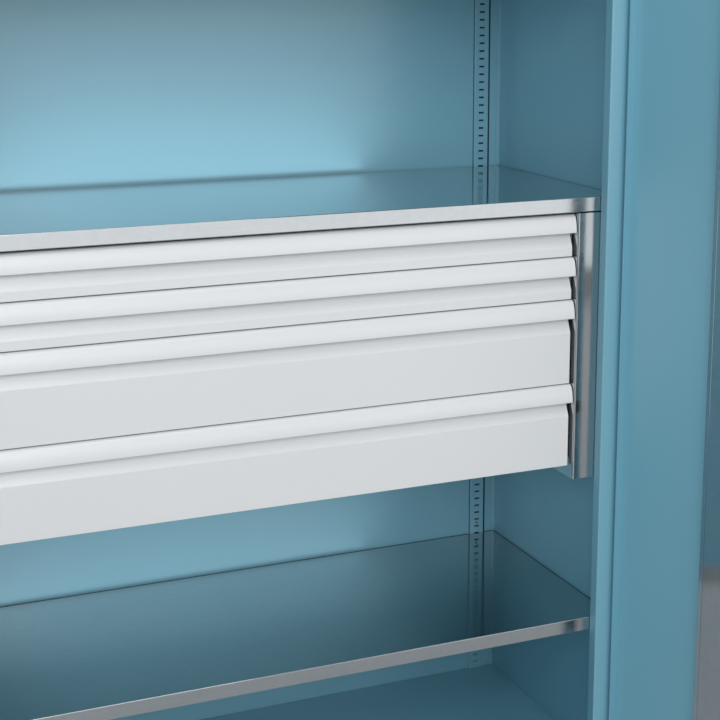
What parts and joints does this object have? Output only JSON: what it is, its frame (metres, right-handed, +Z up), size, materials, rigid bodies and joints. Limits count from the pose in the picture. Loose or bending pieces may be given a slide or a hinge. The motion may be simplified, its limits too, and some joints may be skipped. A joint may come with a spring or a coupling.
{
  "type": "heavy-duty cabinet with drawers",
  "caption": "Tall sheet-steel double-door cabinet with galvanised shelves and a block of telescopic drawers with curved full-width handle noses.",
  "frame": {"origin": "centre of the body's footprint (without the open doors), at floor level", "axes": "+Z up, the open front faces -Y, +X to the right seen from the front"},
  "size_m": [1.7146, 1.0661, 1.95],
  "materials": {
    "blue_paint": "smooth semi-gloss light blue powder coat",
    "grey_paint": "smooth semi-gloss light grey powder coat",
    "galvanised": "smooth zinc-coated sheet, satin",
    "rail_steel": "bright zinc-plated rolled steel",
    "bright_steel": "zinc-plated turned steel",
    "dark_casting": "black satin coated zinc casting",
    "chrome": "nickel-plated",
    "black_rubber": "matt black rubber",
    "nylon": "black nylon"
  },
  "bodies": {
    "cabinet": {"side_panel_left": "blue_paint", "side_panel_right": "blue_paint", "rear_panel": "blue_paint", "roof_panel": "blue_paint", "floor_panel": "blue_paint", "plinth": "blue_paint", "front_top_rail": "blue_paint", "front_slot_strips": "blue_paint", "rear_slot_strips": "blue_paint", "shelf_lower": "galvanised", "shelf_middle": "galvanised", "shelf_upper": "galvanised", "shelf_clips": "galvanised", "drawer_block_side_left": "galvanised", "drawer_block_side_right": "galvanised", "drawer_outer_rails": "rail_steel", "levelling_feet": "bright_steel", "hinge_pins": "bright_steel", "door_buffers": "black_rubber"},
    "drawer_1": {"drawer_1_tray": "grey_paint", "drawer_1_front": "grey_paint", "drawer_1_handle": "grey_paint", "drawer_1_inner_rails": "rail_steel"},
    "drawer_1_carriage": {"drawer_1_middle_rails": "rail_steel", "drawer_1_ball_cages": "bright_steel"},
    "drawer_2": {"drawer_2_tray": "grey_paint", "drawer_2_front": "grey_paint", "drawer_2_handle": "grey_paint", "drawer_2_inner_rails": "rail_steel"},
    "drawer_2_carriage": {"drawer_2_middle_rails": "rail_steel", "drawer_2_ball_cages": "bright_steel"},
    "drawer_3": {"drawer_3_tray": "grey_paint", "drawer_3_front": "grey_paint", "drawer_3_handle": "grey_paint", "drawer_3_inner_rails": "rail_steel"},
    "drawer_3_carriage": {"drawer_3_middle_rails": "rail_steel", "drawer_3_ball_cages": "bright_steel"},
    "drawer_4": {"drawer_4_tray": "grey_paint", "drawer_4_front": "grey_paint", "drawer_4_handle": "grey_paint", "drawer_4_inner_rails": "rail_steel"},
    "drawer_4_carriage": {"drawer_4_middle_rails": "rail_steel", "drawer_4_ball_cages": "bright_steel"},
    "door_left": {"door_panel_left": "blue_paint", "door_stiffener_left": "galvanised", "hinge_bushes_left": "nylon", "overlap_strip": "blue_paint"},
    "door_right": {"door_panel_right": "blue_paint", "door_stiffener_right": "galvanised", "hinge_bushes_right": "nylon", "lock_case": "galvanised", "lock_escutcheon": "dark_casting", "rod_guides": "nylon", "lock_screws": "bright_steel"},
    "door_handle": {"handle_lever": "dark_casting", "lock_spindle": "bright_steel"},
    "upper_rod": {"lock_rod_upper": "bright_steel"},
    "lower_rod": {"lock_rod_lower": "bright_steel"},
    "key": {"lock_cylinder": "chrome", "lock_key": "chrome"}
  },
  "joints": [
    {"name": "drawer_1_slide", "type": "slide", "parent": "cabinet", "child": "drawer_1", "axis": [0, -1, 0], "range_m": [0, 0.4]},
    {"name": "drawer_1_carriage_slide", "type": "slide", "parent": "cabinet", "child": "drawer_1_carriage", "axis": [0, -1, 0], "range_m": [0, 0.2]},
    {"name": "drawer_2_slide", "type": "slide", "parent": "cabinet", "child": "drawer_2", "axis": [0, -1, 0], "range_m": [0, 0.4]},
    {"name": "drawer_2_carriage_slide", "type": "slide", "parent": "cabinet", "child": "drawer_2_carriage", "axis": [0, -1, 0], "range_m": [0, 0.2]},
    {"name": "drawer_3_slide", "type": "slide", "parent": "cabinet", "child": "drawer_3", "axis": [0, -1, 0], "range_m": [0, 0.4]},
    {"name": "drawer_3_carriage_slide", "type": "slide", "parent": "cabinet", "child": "drawer_3_carriage", "axis": [0, -1, 0], "range_m": [0, 0.2]},
    {"name": "drawer_4_slide", "type": "slide", "parent": "cabinet", "child": "drawer_4", "axis": [0, -1, 0], "range_m": [0, 0.4]},
    {"name": "drawer_4_carriage_slide", "type": "slide", "parent": "cabinet", "child": "drawer_4_carriage", "axis": [0, -1, 0], "range_m": [0, 0.2]},
    {"name": "door_right_hinge", "type": "hinge", "parent": "cabinet", "child": "door_right", "pos_m": [0.592, -0.262, 0.98], "axis": [0, 0, 1], "range_deg": [-115, 5]},
    {"name": "door_left_hinge", "type": "hinge", "parent": "cabinet", "child": "door_left", "pos_m": [-0.592, -0.262, 0.98], "axis": [0, 0, -1], "range_deg": [-115, 5]},
    {"name": "handle_turn", "type": "hinge", "parent": "door_right", "child": "door_handle", "pos_m": [0.83223, -0.75352, 1.02], "axis": [-0.9063, -0.4226, 0], "range_deg": [0, 90]},
    {"name": "upper_rod_slide", "type": "slide", "parent": "door_right", "child": "upper_rod", "axis": [0, 0, 1], "range_m": [0, 0.0189]},
    {"name": "lower_rod_slide", "type": "slide", "parent": "door_right", "child": "lower_rod", "axis": [0, 0, -1], "range_m": [0, 0.0189]},
    {"name": "key_turn", "type": "hinge", "parent": "door_right", "child": "key", "pos_m": [0.83223, -0.75352, 1.08], "axis": [-0.9063, -0.4226, 0], "range_deg": [0, 90]}
  ],
  "couplings": [
    {"joint": "drawer_1_carriage_slide", "follows": "drawer_1_slide", "ratio": 0.5},
    {"joint": "drawer_2_carriage_slide", "follows": "drawer_2_slide", "ratio": 0.5},
    {"joint": "drawer_3_carriage_slide", "follows": "drawer_3_slide", "ratio": 0.5},
    {"joint": "drawer_4_carriage_slide", "follows": "drawer_4_slide", "ratio": 0.5},
    {"joint": "upper_rod_slide", "follows": "handle_turn", "m_per_rad": 0.012},
    {"joint": "lower_rod_slide", "follows": "handle_turn", "m_per_rad": 0.012}
  ]
}
